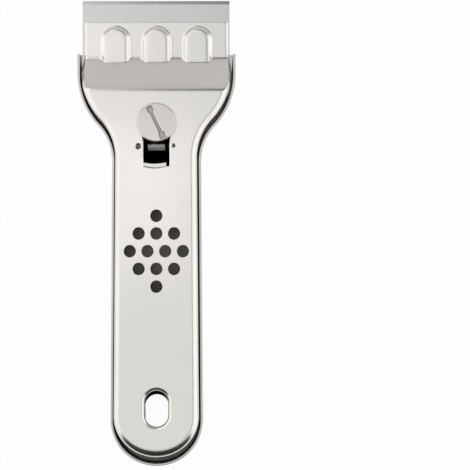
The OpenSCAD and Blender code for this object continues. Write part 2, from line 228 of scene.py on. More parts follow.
# Wall of a hole, from profile entries of (distance outside the loop, height)
def holeWall(bm, loop, profile):
    loft(bm, [atHeight(movedOut(loop, d), z) for d, z in profile], closedRows=True)
    return movedOut(loop, profile[0][0])


# A round dent or bump from profile entries of (radius, height), ending at its middle
def roundPress(bm, centre, profile, steps=48):
    rings = [atHeight(circle(centre, r, steps), z) for r, z in profile if r > 0]
    loft(bm, rings, closedRows=True)
    last = [bm.verts.new(p) for p in rings[-1]]
    tip = bm.verts.new((centre[0], centre[1], profile[-1][1]))
    for a, b in zip(last, last[1:] + last[:1]):
        bm.faces.new((a, b, tip))


# Closes, smooths and names a piece; dull(face) picks the faces that get the second, darker material,
# which paints shade on them
def makePiece(name, bm, material, body, replaced, shadeMaterial=None, shadePick=None):
    bmesh.ops.remove_doubles(bm, verts=bm.verts, dist=mergeReach)
    bmesh.ops.dissolve_degenerate(bm, edges=bm.edges, dist=sliverSize)
    bmesh.ops.recalc_face_normals(bm, faces=bm.faces)
    openEdges = sum(1 for e in bm.edges if len(e.link_faces) != 2)
    if shadePick:
        for f in bm.faces:
            f.material_index = 1 if shadePick(f) else 0
    bmesh.ops.scale(bm, vec=(0.001, 0.001, 0.001), verts=bm.verts)
    mesh = bpy.data.meshes.new(name)
    bm.to_mesh(mesh)
    bm.free()
    mesh.shade_smooth()
    mesh.set_sharp_from_angle(angle=math.radians(creaseAngle))
    mesh.materials.append(material)
    if shadeMaterial:
        mesh.materials.append(shadeMaterial)
    piece = bpy.data.objects.new(name, mesh)
    bpy.context.scene.collection.objects.link(piece)
    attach(piece, body)
    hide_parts(replaced)
    print(name, "made:", len(mesh.polygons), "faces,", openEdges, "open edges")
    return piece


# What the steels share, in metres
# Painted shade: its near-black colour, and the ragged edge of its mask
paintedShadeColour = (0.003, 0.003, 0.0025, 1)
paintedShadeEdge = (0.0002, 0.0006)
raggedReach = 0.0006
raggedScale = 900.0           # count to the metre
grainDepth = 0.00001
grainDetail = 2.0
cloudDetail = 3.0
noiseRange = (0.3, 0.7)     # nearly all of a noise texture's values


def addNode(tree, kind, **values):
    node = tree.nodes.new(kind)
    for key, value in values.items():
        setattr(node, key, value)
    return node


# Fine satin grain: a tight grain for gloss and bump, and a slow cloud for tone
def makeGrainGroup():
    group = bpy.data.node_groups.new("satinGrain", "ShaderNodeTree")
    face = group.interface
    for label, value in (("Across", 9000.0), ("Along", 9000.0), ("Cloud size", 60.0)):
        face.new_socket(name=label, in_out="INPUT", socket_type="NodeSocketFloat").default_value = value
    face.new_socket(name="Grain", in_out="OUTPUT", socket_type="NodeSocketFloat")
    face.new_socket(name="Cloud", in_out="OUTPUT", socket_type="NodeSocketFloat")
    entry = addNode(group, "NodeGroupInput")
    leave = addNode(group, "NodeGroupOutput")
    where = addNode(group, "ShaderNodeTexCoord")
    stretch = addNode(group, "ShaderNodeCombineXYZ")
    stretched = addNode(group, "ShaderNodeVectorMath", operation="MULTIPLY")
    fine = addNode(group, "ShaderNodeTexNoise")
    fine.inputs["Scale"].default_value = 1.0
    fine.inputs["Detail"].default_value = grainDetail
    cloud = addNode(group, "ShaderNodeTexNoise")
    cloud.inputs["Detail"].default_value = cloudDetail
    link = group.links.new
    link(entry.outputs["Across"], stretch.inputs["X"])
    link(entry.outputs["Along"], stretch.inputs["Y"])
    link(entry.outputs["Across"], stretch.inputs["Z"])
    link(where.outputs["Object"], stretched.inputs[0])
    link(stretch.outputs[0], stretched.inputs[1])
    link(stretched.outputs[0], fine.inputs["Vector"])
    link(where.outputs["Object"], cloud.inputs["Vector"])
    link(entry.outputs["Cloud size"], cloud.inputs["Scale"])
    link(fine.outputs["Fac"], leave.inputs["Grain"])
    link(cloud.outputs["Fac"], leave.inputs["Cloud"])
    return group


# Painted shade: a mask that is 1 beyond a distance from a middle, or within it when the side is -1,
# with a ragged edge
def makePaintedShadeGroup():
    group = bpy.data.node_groups.new("paintedShadeMask", "ShaderNodeTree")
    for label, kind in (
        ("Middle", "Vector"), ("Stretch", "Vector"), ("Reach", "Float"), ("Side", "Float"),
    ):
        group.interface.new_socket(name=label, in_out="INPUT", socket_type="NodeSocket" + kind)
    group.interface.new_socket(name="Mask", in_out="OUTPUT", socket_type="NodeSocketFloat")
    entry = addNode(group, "NodeGroupInput")
    leave = addNode(group, "NodeGroupOutput")
    where = addNode(group, "ShaderNodeTexCoord")
    shifted = addNode(group, "ShaderNodeVectorMath", operation="SUBTRACT")
    stretched = addNode(group, "ShaderNodeVectorMath", operation="MULTIPLY")
    away = addNode(group, "ShaderNodeVectorMath", operation="LENGTH")
    beyond = addNode(group, "ShaderNodeMath", operation="SUBTRACT")
    turned = addNode(group, "ShaderNodeMath", operation="MULTIPLY")
    raggedNoise = addNode(group, "ShaderNodeTexNoise")
    raggedNoise.inputs["Scale"].default_value = raggedScale
    uneven = addNode(group, "ShaderNodeMath", operation="MULTIPLY_ADD")
    uneven.inputs[1].default_value = raggedReach
    rim = addNode(group, "ShaderNodeMapRange")
    rim.inputs["From Min"].default_value, rim.inputs["From Max"].default_value = paintedShadeEdge
    link = group.links.new
    link(where.outputs["Object"], shifted.inputs[0])
    link(entry.outputs["Middle"], shifted.inputs[1])
    link(shifted.outputs[0], stretched.inputs[0])
    link(entry.outputs["Stretch"], stretched.inputs[1])
    link(stretched.outputs[0], away.inputs[0])
    link(away.outputs["Value"], beyond.inputs[0])
    link(entry.outputs["Reach"], beyond.inputs[1])
    link(beyond.outputs[0], turned.inputs[0])
    link(entry.outputs["Side"], turned.inputs[1])
    link(where.outputs["Object"], raggedNoise.inputs["Vector"])
    link(raggedNoise.outputs["Fac"], uneven.inputs[0])
    link(turned.outputs[0], uneven.inputs[2])
    link(uneven.outputs[0], rim.inputs["Value"])
    link(rim.outputs["Result"], leave.inputs["Mask"])
    return group


grainGroup = makeGrainGroup()
paintedShadeGroup = makePaintedShadeGroup()


# A noise value spread from low to high
def mapped(tree, source, low, high):
    node = addNode(tree, "ShaderNodeMapRange")
    node.inputs["From Min"].default_value, node.inputs["From Max"].default_value = noiseRange
    node.inputs["To Min"].default_value = low
    node.inputs["To Max"].default_value = high
    tree.links.new(source, node.inputs["Value"])
    return node.outputs["Result"]


def newMaterial(name):
    material = bpy.data.materials.new(name)
    material.use_nodes = True
    shader = material.node_tree.nodes["Principled BSDF"]
    shader.inputs["Specular IOR Level"].default_value = 0.0
    return material, shader


def makeSteel(name, finish):
    material, shader = newMaterial(name)
    tree = material.node_tree
    shader.inputs["Metallic"].default_value = finish.get("metallic", 1.0)
    grain = addNode(tree, "ShaderNodeGroup", node_tree=grainGroup)
    grain.inputs["Across"].default_value = finish["across"]
    grain.inputs["Along"].default_value = finish["along"]
    grain.inputs["Cloud size"].default_value = finish["cloudSize"]
    tone = addNode(tree, "ShaderNodeMix", data_type="RGBA")
    tone.inputs["A"].default_value = (*finish["dark"], 1)
    tone.inputs["B"].default_value = (*finish["light"], 1)
    tree.links.new(mapped(tree, grain.outputs["Cloud"], 0, 1), tone.inputs["Factor"])
    colour = tone.outputs["Result"]
    # Painted shade: where its mask is 1, the colour turns near black
    if "paintedShade" in finish:
        paintedShaded = addNode(tree, "ShaderNodeMix", data_type="RGBA")
        paintedShaded.inputs["B"].default_value = paintedShadeColour
        paintedShade = addNode(tree, "ShaderNodeGroup", node_tree=paintedShadeGroup)
        for label, value in zip(("Middle", "Stretch", "Reach", "Side"), finish["paintedShade"]):
            paintedShade.inputs[label].default_value = value
        tree.links.new(paintedShade.outputs["Mask"], paintedShaded.inputs["Factor"])
        tree.links.new(colour, paintedShaded.inputs["A"])
        colour = paintedShaded.outputs["Result"]
    tree.links.new(colour, shader.inputs["Base Color"])
    low, high = finish["roughness"]
    tree.links.new(mapped(tree, grain.outputs["Grain"], low, high), shader.inputs["Roughness"])
    bump = addNode(tree, "ShaderNodeBump")
    bump.inputs["Strength"].default_value = finish["bump"]
    bump.inputs["Distance"].default_value = grainDepth
    tree.links.new(grain.outputs["Grain"], bump.inputs["Height"])
    tree.links.new(bump.outputs["Normal"], shader.inputs["Normal"])
    return material


# Sizes of the grain and the cloud are counts to the metre. Colours run from dark to light.
# Painted shade: middle, stretch, reach in metres, and side.
finishes = {
    "coverSteel": {
        "across": 9000, "along": 9000, "cloudSize": 45, "roughness": (0.19, 0.26), "bump": 0.2,
        "dark": (0.7, 0.687, 0.655), "light": (0.73, 0.713, 0.68),
    },
    "traySteel": {
        "across": 9000, "along": 9000, "cloudSize": 45, "roughness": (0.24, 0.32), "bump": 0.25,
        "dark": (0.5, 0.495, 0.485), "light": (0.55, 0.545, 0.535),
    },
    # Painted shade: a dark material for the tray's floor where the cover hides it
    "shadedInsideSteel": {
        "across": 6000, "along": 6000, "cloudSize": 90, "roughness": (0.4, 0.5), "bump": 0.4,
        "dark": (0.13, 0.128, 0.121), "light": (0.2, 0.197, 0.186),
        # Painted shade, near black, under the slot and the bridge
        "paintedShade": ((0, 0.0235, 0), (1, 1, 0), 0.0075, -1),
    },
    # Painted shade: a dark material for the cover's underside and the bottoms of its dimples
    "shadedUnderSteel": {
        "across": 6000, "along": 6000, "cloudSize": 90, "roughness": (0.4, 0.5), "bump": 0.4,
        "dark": (0.13, 0.128, 0.121), "light": (0.2, 0.197, 0.186),
    },
    "bladeSteel": {
        "across": 700, "along": 16000, "cloudSize": 90, "roughness": (0.26, 0.29), "bump": 0.02,
        "dark": (0.59, 0.585, 0.58), "light": (0.605, 0.6, 0.595),
    },
    "screwSteel": {
        "across": 12000, "along": 12000, "cloudSize": 120, "roughness": (0.2, 0.28), "bump": 0.2,
        "dark": (0.57, 0.555, 0.533), "light": (0.61, 0.592, 0.57),
    },
    # The screw's milled slot floor: rougher than the head, and darker by painted shade
    "slotSteel": {
        "across": 8000, "along": 8000, "cloudSize": 200, "roughness": (0.35, 0.5), "bump": 0.5,
        "dark": (0.38, 0.373, 0.36), "light": (0.48, 0.472, 0.455),
    },
    "bridgeSteel": {
        "across": 6000, "along": 6000, "cloudSize": 120, "roughness": (0.26, 0.38), "bump": 0.4,
        "dark": (0.6, 0.6, 0.585), "light": (0.75, 0.75, 0.73), "metallic": 0.5,
        # Painted shade blacks out the bridge and the nut, all but a band at the bridge's back bend,
        # left to catch the light
        "paintedShade": ((0, 0.0249, 0), (0, 1, 0), 0.0007, 1),
    },
}
steels = {name: makeSteel(name, finish) for name, finish in finishes.items()}
print("materials made")


# Tray: floor, turned-up rim and the tongue under the blade
tray = {
    "rimHeight": 7,
    "rimBend": 1.2,
    "topRound": 0.2,
    "tongueIn": 1,
    "buttonRadius": 2.5,
    "buttonHeight": 0.95,
    "recessRadius": 1.8,
    "buttonRound": 0.3,
    "edgeRound": 0.1,
    "hangHole": (0, -52.75, 6.8, 10.5),
    "lipRun": 4,            # length over which the hang hole's lip rises, from back to front
    "weldY": (18.85, 43.0),
    # Radius and height, from the mark's rim to its middle
    "weldMark": ((1.9, 0), (1.8, 0), (1.6, 0.02), (1.4, 0.07), (1.2, 0.09), (0, 0.09)),
    "headBack": 1.7,        # how far behind the face's end the head's rows start
    "headRows": 16,
    "shadeTop": 1.6,         # the floor's painted shade, where the cover hides it: its highest place, and how far behind the face's end it stops
    "shadeEnd": 1,           # and how far behind the face's end it stops
}


def traySection():
    bend = tray["rimBend"]
    top = tray["rimHeight"]
    r = tray["topRound"]
    section = [(bend + support, 0)]
    section += arcPoints((bend, bend), bend, 1.5 * math.pi, math.pi, 12)
    section += arcPoints((r, top - r), r, math.pi, math.pi / 2, 5)
    section += arcPoints((sheet - r, top - r), r, math.pi / 2, 0, 5)
    section += arcPoints((bend, bend), bend - sheet, math.pi, 1.5 * math.pi, 10)
    section += [(bend + support, sheet)]
    return section


# The hole's front half is drawn up into a lip. The profile's entries are the distance outside
# the hole, the height at the back and the height at the front.
def trayHole(bm, loop):
    profile = [
        (1.7 + support, 0, 0), (1.7, 0, 0), (1.5, 0, 0.04), (1.3, 0, 0.15), (0.3, 0, 1.3),
        (0.12, 0.02, 1.5), (0.04, 0.06, 1.7), (0, 0.15, 1.9), (0, 0.55, 2.1), (0.05, 0.64, 2.25),
        (0.2, sheet, 2.2), (0.4, sheet, 2.05), (1.3, sheet, 0.95), (1.5, sheet, 0.77),
        (1.65, sheet, sheet), (1.7 + support, sheet, sheet),
    ]
    middle = tray["hangHole"][1]
    rows = []
    for distance, back, front in profile:
        row = []
        for x, y in movedOut(loop, distance):
            share = eased((y - middle) / tray["lipRun"] + 0.5)
            row.append((x, y, back + (front - back) * share))
        rows.append(row)
    loft(bm, rows, closedRows=True)
    return movedOut(loop, profile[0][0])


def makeTray():
    bm = bmesh.new()
    first = slopeY - tray["headBack"]
    count = tray["headRows"]
    head = [first + (rimY - first) * i / count for i in range(count + 1)]
    section = traySection()
    halves = [halfOutline(lambda y, d=d: d, head) for d, z in section]
    rings = [[(x, y, z) for x, y in mirrored(half)] for half, (d, z) in zip(halves, section)]
    loft(bm, rings)
    for end in (0, -1):
        cap(bm, [ring[end] for ring in rings])
    half = scraper["plateWidth"] / 2 - tray["tongueIn"]
    front = plateY - tray["tongueIn"]
    corner = 2 * tray["tongueIn"]
    right = [(half, rimY)]
    right += arcPoints((half - corner, front - corner), corner, 0, math.pi / 2, 12)
    tongue = right + [(-x, y) for x, y in reversed(right)]
    floor = mirrored(halves[0])
    wall = [floor[-1]] + tongue + [floor[0]]
    loft(bm, [atHeight(wall, 0), atHeight(wall, sheet)])
    outer = floor + tongue
    hole = stadium(tray["hangHole"][:2], *tray["hangHole"][2:])
    holes = [trayHole(bm, hole)]
    top = sheet + tray["buttonHeight"]
    r = tray["buttonRadius"]
    low = tray["recessRadius"]
    deep = tray["buttonHeight"]
    big = tray["buttonRound"]
    small = tray["edgeRound"]
    turns = (0, 0.5, 1.05, 1.57)
    upper = [(r + small, sheet), (r + 0.3 * small, sheet + 0.3 * small), (r, sheet + small)]
    upper += [(r - big + big * math.cos(a), top - big + big * math.sin(a)) for a in turns[:3]]
    upper += [(r - big, top), (r - big - 0.2, top), (0, top)]
    lower = [(r + small, 0), (low + big + 0.05, 0), (low + big, 0)]
    lower += [(low + big - big * math.sin(a), big - big * math.cos(a)) for a in turns[1:]]
    lower += [(low, deep - 0.2), (low - 0.06, deep - 0.06), (low - 0.2, deep), (0, deep)]
    for i in (-1, 0, 1):
        centre = (i * scraper["ribPitch"], scraper["ribEnd"])
        roundPress(bm, centre, upper)
        roundPress(bm, centre, lower)
        holes.append(circle(centre, r + small))
    weldRadius = tray["weldMark"][0][0]
    for y in tray["weldY"]:
        roundPress(bm, (0, y), tray["weldMark"])
        roundPress(bm, (0, y), [(weldRadius, sheet), (0, sheet)])
        holes.append(circle((0, y), weldRadius))
    fillFlat(bm, outer, holes, (0, sheet))

    # Painted shade: the floor's upper face gets a dark material, as far as the cover hides it
    def inShade(face):
        middle = face.calc_center_median()
        hidden = middle.z < tray["shadeTop"] and middle.y < slopeY - tray["shadeEnd"]
        return hidden and face.normal.z > 0.3

    return makePiece(
        "tray", bm, steels["traySteel"], "tray", "lower_shell",
        steels["shadedInsideSteel"], inShade,
    )


makeTray()


# Cover: face, bend, flange, slope, clamp plate and all that is pressed into them
cover = {
    "bend": 1.9,
    "tipGap": 0.45,         # how much further in the tail's tip is
    "tipBend": 0.5,         # share by which the bend is wider there
    "inset": 1.05,          # from the tray's outside to the cover's
    "ahead": 1,             # how far forward of the tray's outline it is drawn
    "left": 0.1,            # and how far to the left
    "plateWider": 0.3,
    "flangeZ": 1.3,
    "plateZ": 1.8,
    "flangeEnd": 0.03,      # least length of the flange below the sheet
    "slopeBend": 2.6,
    "slopeEdge": 1.05,
    "openFrom": 5,          # height from which the bend opens out
    "edgeShare": 0.7,       # most of the side's height that the bend takes
    "cornerRound": 0.12,
    "frontRound": 0.15,
    "ribBlend": 0.22,       # roundness where a rib meets the slope
    "ribHalf": 4.6,
    "ribHeight": 1,
    "ribSide": 1.45,
    "ribFillet": 0.45,
    "ribCrown": 0.12,
    "slotHalf": 3.75,
    "slotEdge": 0.4,
    "slotY": 20.6,
    "slotBulge": 0.35,
    "ledgeLength": 1.45,
    "ledgeDrop": 0.25,
    "ledgeStep": 0.42,
    "ledgeBulge": 0.5,
    "notch": 0.9,
    "notchLength": 1.1,
    "lipDepth": 2,
    "hangHole": (0, -51.3, 6.8, 10.5),
    "hangBend": 1.15,
    "dimples": ((-5.25, 25.2, 1, 0.55), (5.05, 25.4, 0.7, 0.35)),     # x, y, radius, depth
    "dimpleRing": 0.05,
    "dimpleShade": 0.12,     # a dimple has painted shade below this depth
    "shadeDepth": 1,         # the underside has painted shade down to this far below the face
    "dotCounts": (1, 3, 4, 3, 1),
    "dotEdge": 0.14,
    "dotRadius": 1.75,
    "dotPitch": 5.167,
    "dotY": -5.4,
}


bendSteps = 14
ringTurns = quarterTurns(12)


# Points round one bend of the side view, at a depth below the sheet's upper face
def bendPoints(before, corner, after, depth):
    start = math.atan2(corner[1] - before[1], corner[0] - before[0])
    turn = math.atan2(after[1] - corner[1], after[0] - corner[0]) - start
    side = 1 if turn > 0 else -1
    r = cover["slopeBend"] + (0 if side > 0 else sheet)
    reach = r * math.tan(abs(turn) / 2)
    centre = (
        corner[0] - reach * math.cos(start) - side * r * math.sin(start),
        corner[1] - reach * math.sin(start) + side * r * math.cos(start),
    )
    first = start - side * math.pi / 2
    return arcPoints(centre, r + side * depth, first, first + turn, bendSteps)


coverLine = [
    (slopeY - cover["slopeBend"] - sheet, faceTop),
    (slopeY, faceTop),
    (footY, cover["plateZ"]),
    (plateY, cover["plateZ"]),
]


def sideView(depth):
    middle = bendPoints(*coverLine[:3], depth) + bendPoints(*coverLine[1:], depth)
    first = (coverLine[0][0], coverLine[0][1] - depth)
    last = (coverLine[3][0], coverLine[3][1] - depth)
    return np.array([first] + middle + [last])


upperView = sideView(0)
lowerView = sideView(sheet)


def topZ(y):
    return float(np.interp(y, upperView[:, 0], upperView[:, 1]))


def underZ(y):
    return float(np.interp(y, lowerView[:, 0], lowerView[:, 1]))


def flangeEndZ(y):
    return min(cover["flangeZ"], underZ(y) - cover["flangeEnd"])


# The bend is tight along the slope and opens out towards the face
def bendAt(y):
    low = cover["openFrom"]
    tight = cover["slopeEdge"]
    return tight + (cover["bend"] - tight) * eased((topZ(y) - low) / (faceTop - low))


# Height and width of the outer bend, and height of the inner one
def bendDrop(y):
    return min(bendAt(y), cover["edgeShare"] * (topZ(y) - flangeEndZ(y)))


def bendIn(y):
    return max(bendDrop(y), 1.5 * sheet)


def innerDrop(y):
    return min(bendAt(y) - sheet, (underZ(y) - flangeEndZ(y)) / 2)


# How far the clamp plate stands inside the head's outline
def stepIn(y):
    plate = scraper["plateWidth"] + cover["plateWider"]
    wide = (scraper["headWidth"] - plate) / 2 - cover["inset"]
    return wide * max(0, 1 - (topZ(y) - cover["plateZ"]) / (2 * cover["bend"]))


# Places along the head where the cover has rows of points
def coverRows(slopeRows=22, plateRows=52):
    places = [float(p[0]) for p in upperView[1:-1]]
    bend = places[:bendSteps + 1]
    foot = places[bendSteps + 1:]
    slope = foot[0] - bend[-1]
    plate = plateY - cover["frontRound"] - foot[-1]
    rows = [bend[0] - support] + bend
    rows += [bend[-1] + slope * i / slopeRows for i in range(1, slopeRows)] + foot
    rows += [foot[-1] + plate * i / plateRows for i in range(1, plateRows + 1)]
    return rows + [plateY - back for back in (0.1, 0.05, 0.015, 0)]


rowPlaces = coverRows()
coverHead = [y - cover["ahead"] for y in rowPlaces]


# One row of points round the cover, from its front left corner to its front right one
def coverRing(inset, height):
    tipMore = cover["tipGap"] + cover["tipBend"] * inset(tailY)
    half = halfOutline(lambda y: cover["inset"] + inset(y + cover["ahead"]), coverHead, tipMore)
    placed = []
    for x, y in half:
        y += cover["ahead"]
        placed.append((x - stepIn(y), y, height(y)))
    ring = mirrored(placed)
    return [(x - cover["left"], y, z) for x, y, z in ring]


# Rounds the clamp plate's front edge over
def frontRound(y):
    r = cover["frontRound"]
    t = max(0, y - (plateY - r))
    return r - math.sqrt(max(0, r ** 2 - t ** 2))


# Height of the ribs above the plate: a straight side between two fillets, and a slight crown
def ribRise(x, y):
    side = cover["ribSide"]
    fillet = cover["ribFillet"]
    height = cover["ribHeight"] - cover["ribCrown"]
    rise = 0
    for i in (-1, 0, 1):
        dx = x + cover["left"] - i * scraper["ribPitch"]
        dy = max(0, y - scraper["ribEnd"])
        d = cover["ribHalf"] - math.hypot(dx, dy)
        if d <= 0:
            continue
        steep = height / (side - fillet)
        if d < fillet:
            ramp = steep * d * d / (2 * fillet)
        elif d < side - fillet:
            ramp = steep * (d - fillet / 2)
        elif d < side:
            ramp = height - steep * (side - d) ** 2 / (2 * fillet)
        else:
            ramp = height
        crown = cover["ribCrown"] * min(1, max(0, d - 0.5 * side) / side)
        rise = max(rise, ramp + crown)
    return rise


# The higher of two surfaces, with the corner where they meet rounded off
def softMax(a, b, soft):
    h = max(0, min(1, 0.5 + (a - b) / (2 * soft)))
    return b + (a - b) * h + soft * h * (1 - h)


def plateTop(x, y):
    base = topZ(y)
    rib = ribRise(x, y)
    if rib > 0 and base > cover["plateZ"] + 0.02:
        return softMax(base, cover["plateZ"] + rib, cover["ribBlend"])
    return base + rib


# From the underside's inner edge, down the flange's inside, up its outside and onto the face
def coverRings():
    r = cover["cornerRound"]
    rings = [coverRing(lambda y: bendIn(y) + support, underZ)]
    for a in reversed(ringTurns):
        rings.append(coverRing(
            lambda y, a=a: bendIn(y) - (bendIn(y) - sheet) * math.cos(a),
            lambda y, a=a: underZ(y) - innerDrop(y) * (1 - math.sin(a)),
        ))
    rings.append(coverRing(lambda y: sheet - 0.3 * r, flangeEndZ))
    rings.append(coverRing(lambda y: r, flangeEndZ))
    rings.append(coverRing(lambda y: 0.3 * r, lambda y: flangeEndZ(y) + 0.3 * r))
    rings.append(coverRing(lambda y: 0, lambda y: flangeEndZ(y) + r))
    for a in ringTurns:
        rings.append(coverRing(
            lambda y, a=a: bendIn(y) * (1 - math.cos(a)),
            lambda y, a=a: topZ(y) - bendDrop(y) * (1 - math.sin(a)) - frontRound(y) * math.sin(a),
        ))
    rings.append(coverRing(lambda y: bendIn(y) + support, lambda y: topZ(y) - frontRound(y)))
    return rings


# Slope and clamp plate between the innermost rings, upper and lower side
def addPlate(bm, rings, columns=180):
    count = len(rowPlaces)
    left = rings[-1][:count][::-1]
    right = rings[-1][-count:]
    upper = []
    lower = []
    for a, b, y in zip(left, right, rowPlaces):
        top = []
        under = []
        for i in range(columns + 1):
            x = a[0] + (b[0] - a[0]) * i / columns
            inner = 0 < i < columns
            z = plateTop(x, y) if inner else topZ(y)
            top.append((x, y, z - frontRound(y)))
            under.append((x, y, z - topZ(y) + underZ(y)))
        upper.append(top)
        lower.append(under)
    loft(bm, upper)
    loft(bm, lower)
    loft(bm, [upper[-1], lower[-1]])
    return upper[0]


# Slot with a ledge pressed into the face behind it: gives the loop that the flat face ends at
def addSlot(bm):
    half = cover["slotHalf"]
    edge = cover["slotEdge"]
    slotBack = cover["slotY"]
    rootY = slotBack - cover["ledgeLength"]
    left = -half
    right = half - cover["notch"]
    notchY = slotBack - cover["notchLength"]

    def bulge(x, most):
        t = (x - (left + right) / 2) / ((right - left) / 2)
        return most * (1 - t * t)

    # The notch's back and its rounded corner, then the slot's sides and front
    side = [(right, notchY), (right + 0.2, notchY - 0.02), (half - 0.25, notchY - 0.02)]
    side += [(half - 0.07, notchY + 0.05), (half, notchY + 0.22)]
    side += [(half, notchY + (screwY - notchY) * i / 16) for i in range(1, 16)]
    side += arcPoints((0, screwY), half, 0, math.pi, 32)
    side += [(-half, screwY - (screwY - slotBack) * i / 16) for i in range(1, 17)]
    ledgeX = [left + (right - left) * i / 24 for i in range(25)]
    root = [(x, rootY - bulge(x, cover["ledgeBulge"])) for x in ledgeX]
    loop = side + root
    last = len(side) - 1
    sizes = [edge * min(1, min(i, last - i) / 2) for i in range(len(side))] + [0] * len(root)
    normals = loopNormals(loop)
    def ring(out, down):
        return [
            (p[0] + n.x * out(s), p[1] + n.y * out(s), faceTop - down * s)
            for p, n, s in zip(loop, normals, sizes)
        ]

    rings = [ring(lambda s: s + support, 0)]
    rings += [ring(lambda s, a=a: s * (1 - math.sin(a)), 1 - math.cos(a)) for a in quarterTurns(5)]
    rings.append(atHeight(loop, faceUnder))
    rings.append([(x, y, faceUnder) for x, y, z in rings[0]])
    loft(bm, rings, closedRows=True)

    # Ledge: a soft step down from the face, a flat, and a rounded front edge. It is a body of
    # its own, a hair inside the slot's back.
    drop = cover["ledgeDrop"]
    inner = [(x * 0.999, y + 0.005) for x, y in root]
    front = [(x, slotBack - bulge(x, cover["slotBulge"])) for x, y in inner]
    strips = [atHeight(inner, faceTop)]
    for i in range(9):
        s = i / 8
        z = faceTop - drop * eased(s)
        strips.append([(x, y + support + cover["ledgeStep"] * s, z) for x, y in inner])
    low = faceTop - drop
    frontEdge = ((0.3, 0), (0.24, 0.004), (0.15, 0.03), (0.07, 0.09), (0.02, 0.18), (0, 0.3))
    for back, down in frontEdge:
        strips.append([(x, y - back, low - down) for x, y in front])
    strips.append(atHeight(front, faceUnder))
    strips.append(atHeight(inner, faceUnder))
    loft(bm, strips + strips[:1])
    for end in (0, -1):
        cap(bm, [strip[end] for strip in strips])
    return [p[:2] for p in rings[0]]


# Profile of a sheet that bends down from the face into a hole; the bend's centre is the reach
# outside the hole and below the face
def bendDown(reach, radius, steps):
    return [
        (reach - radius * math.sin(a), faceTop - reach + radius * math.cos(a))
        for a in quarterTurns(steps)
    ]


def makeCover():
    bm = bmesh.new()
    rings = coverRings()
    loft(bm, rings)
    for end in (0, -1):
        cap(bm, [ring[end] for ring in rings])
    back = addPlate(bm, rings)
    count = len(rowPlaces)
    around = rings[-1][count - 1:len(rings[-1]) - count + 1]
    outer = [p[:2] for p in around] + [p[:2] for p in back[-2:0:-1]]
    holes = [addSlot(bm)]

    bend = cover["hangBend"]
    low = faceTop - cover["lipDepth"]
    profile = [(bend + support, faceTop)] + bendDown(bend, bend, 10)
    profile += [(0, low + 0.1), (0.03, low + 0.03), (0.1, low)]
    profile += [(sheet - 0.05, low), (sheet, low + 0.05)]
    profile += bendDown(bend, bend - sheet, 10)[::-1] + [(bend + support, faceUnder)]
    hang = stadium(cover["hangHole"][:2], *cover["hangHole"][2:], steps=36)
    holes.append(holeWall(bm, hang, profile))

    edge = cover["dotEdge"]
    dotProfile = [(edge + support, faceTop)] + bendDown(edge, edge, 5)
    dotProfile += [(0, faceUnder), (edge + support, faceUnder)]
    middleRow = len(cover["dotCounts"]) // 2
    for row, count in enumerate(cover["dotCounts"]):
        y = cover["dotY"] + (middleRow - row) * cover["dotPitch"]
        for i in range(count):
            centre = ((i - (count - 1) / 2) * cover["dotPitch"], y)
            holes.append(holeWall(bm, circle(centre, cover["dotRadius"], 56), dotProfile))

    # Dimple: a ball pressed in, with a soft shoulder
    steps = [1 - i / 12 for i in range(13)]
    ring = cover["dimpleRing"]
    for x, y, r, depth in cover["dimples"]:
        dent = [(r * s, faceTop - depth * (1 - s * s) ** 1.5) for s in steps]
        bump = [(r * s, faceUnder - depth * (1 - s * s) ** 1.2) for s in steps]
        roundPress(bm, (x, y), [(r + ring, faceTop)] + dent)
        roundPress(bm, (x, y), [(r + ring, faceUnder)] + bump)
        holes.append(circle((x, y), r + ring))
    fillFlat(bm, outer, holes, (faceTop, faceUnder))

    # Painted shade: the face's underside and the bottoms of the dimples get a dark material
    def inShade(face):
        middle = face.calc_center_median()
        if faceUnder < middle.z < faceTop - cover["dimpleShade"]:
            for x, y, r, depth in cover["dimples"]:
                if math.hypot(middle.x - x, middle.y - y) < r:
                    return True
        low = faceUnder - cover["shadeDepth"]
        return face.normal.z < -0.5 and middle.z > low and middle.y < slopeY

    return makePiece(
        "cover", bm, steels["coverSteel"], "cover", "upper_shell",
        steels["shadedUnderSteel"], inShade,
    )


makeCover()


# Clamp screw: slotted head, shoulder and thread
screw = {
    "headRadius": 5.7,
    "headTop": 13.1,
    "headUnder": 10.9,
    "headRound": 0.34,
    "slotLength": 10.1,
    "slotWidth": 0.95,
    "endWidth": 1.7,
    "endLength": 1.7,
    "endFlare": 0.15,
    "slotDepth": 1.2,
    "slotTurn": 25,         # degrees
    "slotEdge": 0.17,       # height of the slot's worn edge
    "wornRight": 0.28,      # its width
    "wornLeft": 0.08,
    "slotFoot": 0.24,
    "shoulderRadius": 3.5,
    "shoulderZ": 9.45,
    "shoulderEdge": 0.2,
    "threadRadius": 2.45,
    "threadDepth": 0.45,
    "threadFade": (0.5, 0.6),       # length over which it fades, at the shoulder and at the tip
    "pitch": 0.8,
    "tipZ": 3.3,
}


def revolve(bm, profile, centre, steps=96):
    rings = [atHeight(circle(centre, r, steps), z) for r, z in profile]
    loft(bm, rings, closedRows=True)


